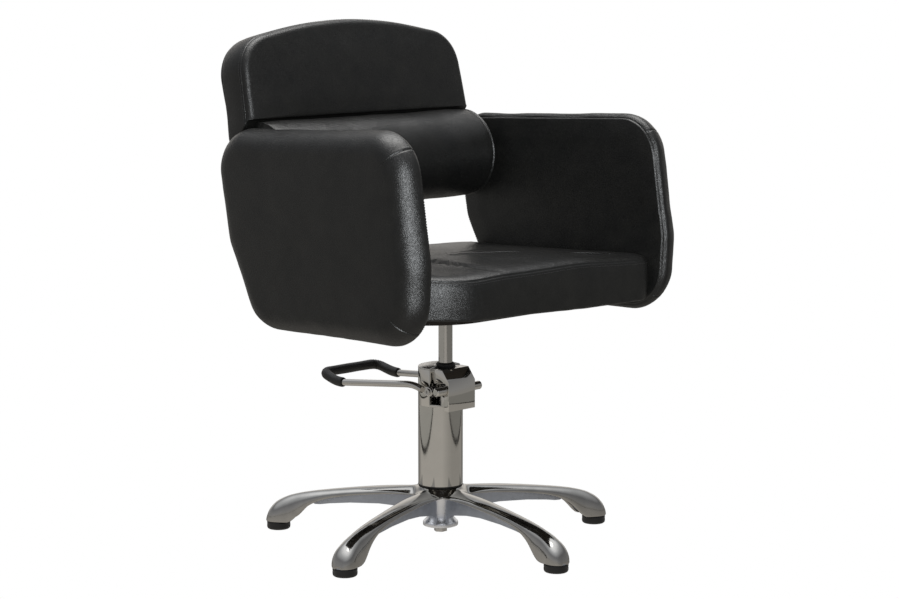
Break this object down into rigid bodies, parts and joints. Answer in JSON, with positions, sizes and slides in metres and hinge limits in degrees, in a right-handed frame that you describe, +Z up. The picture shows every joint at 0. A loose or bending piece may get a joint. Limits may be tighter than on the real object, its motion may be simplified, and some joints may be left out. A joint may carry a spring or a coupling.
{
  "type": "hydraulic styling chair",
  "caption": "Padded armchair for a hair salon, on a foot-pumped column with a star base; it rises, turns and has a sprung pedal.",
  "frame": {"origin": "on the floor, on the axis that the seat turns and rises on", "axes": "+Z up, the seat faces -Y, +X is the sitter's left"},
  "size_m": [0.6644, 0.616, 0.9087],
  "materials": {
    "leatherette": "fine-grained black leatherette, satin",
    "chrome": "bright chrome plate",
    "cast_aluminium": "polished casting with matte grey webs",
    "bright_steel": "bright zinc or steel",
    "satin_steel": "satin pressed steel",
    "dark_steel": "dark machined steel",
    "black_steel": "black powder coat",
    "bronze": "plain bronze bush",
    "black_rubber": "black rubber",
    "grip_rubber": "black moulded rubber grip",
    "black_plastic": "black moulded plastic",
    "plywood": "birch plywood"
  },
  "bodies": {
    "base": {"star_base": "cast_aluminium", "floor_glides": "black_plastic", "glide_screws": "dark_steel", "base_washer": "bright_steel", "base_bolt": "bright_steel", "gasket_ring": "black_rubber", "column_plug": "dark_steel", "pump_column": "chrome", "inner_cylinder": "dark_steel", "guide_bush": "bronze", "wiper_collar": "black_rubber", "pump_head": "chrome", "head_cap": "satin_steel", "hood": "chrome", "plunger_barrel": "dark_steel"},
    "plunger": {"plunger": "bright_steel", "plunger_spring": "bright_steel"},
    "pedal": {"cross_shaft": "chrome", "lever_hub": "dark_steel", "pedal_lever": "chrome", "pedal_grip": "grip_rubber", "lever_bolts": "bright_steel"},
    "piston": {"piston_head": "dark_steel", "thrust_ball": "bright_steel"},
    "seat": {"piston_rod": "chrome", "seat_hub": "black_steel", "mount_plate": "black_steel", "mount_bolts": "bright_steel", "seat_board": "plywood", "seat_cushion": "leatherette", "arm_bracket_left": "black_steel", "arm_bracket_right": "black_steel", "bracket_bolts": "bright_steel", "arm_bolts": "bright_steel", "arm_core_left": "plywood", "arm_core_right": "plywood", "arm_pad_left": "leatherette", "arm_pad_right": "leatherette", "back_board": "plywood", "back_cover": "leatherette", "upper_cushion": "leatherette", "lumbar_bolster": "leatherette", "back_bracket_left": "black_steel", "back_bracket_right": "black_steel", "back_bolts": "bright_steel"}
  },
  "joints": [
    {"name": "lift", "type": "slide", "parent": "base", "child": "piston", "axis": [0, 0, 1], "range_m": [-0.06, 0.085]},
    {"name": "swivel", "type": "hinge", "parent": "piston", "child": "seat", "pos_m": [0, 0, 0.4], "axis": [0, 0, 1], "continuous": true},
    {"name": "pedal", "type": "hinge", "parent": "base", "child": "pedal", "pos_m": [0, -0.03, 0.2735], "axis": [-1, 0, 0], "range_deg": [-3, 20], "stiffness_Nm_per_rad": 25, "springref_deg": -2.86},
    {"name": "plunger", "type": "slide", "parent": "base", "child": "plunger", "axis": [0, 0, -1], "range_m": [-0.0006, 0.0034], "deforming": ["plunger_spring"]}
  ],
  "couplings": [
    {"joint": "plunger", "follows": "pedal", "m_per_rad": 0.0095}
  ]
}
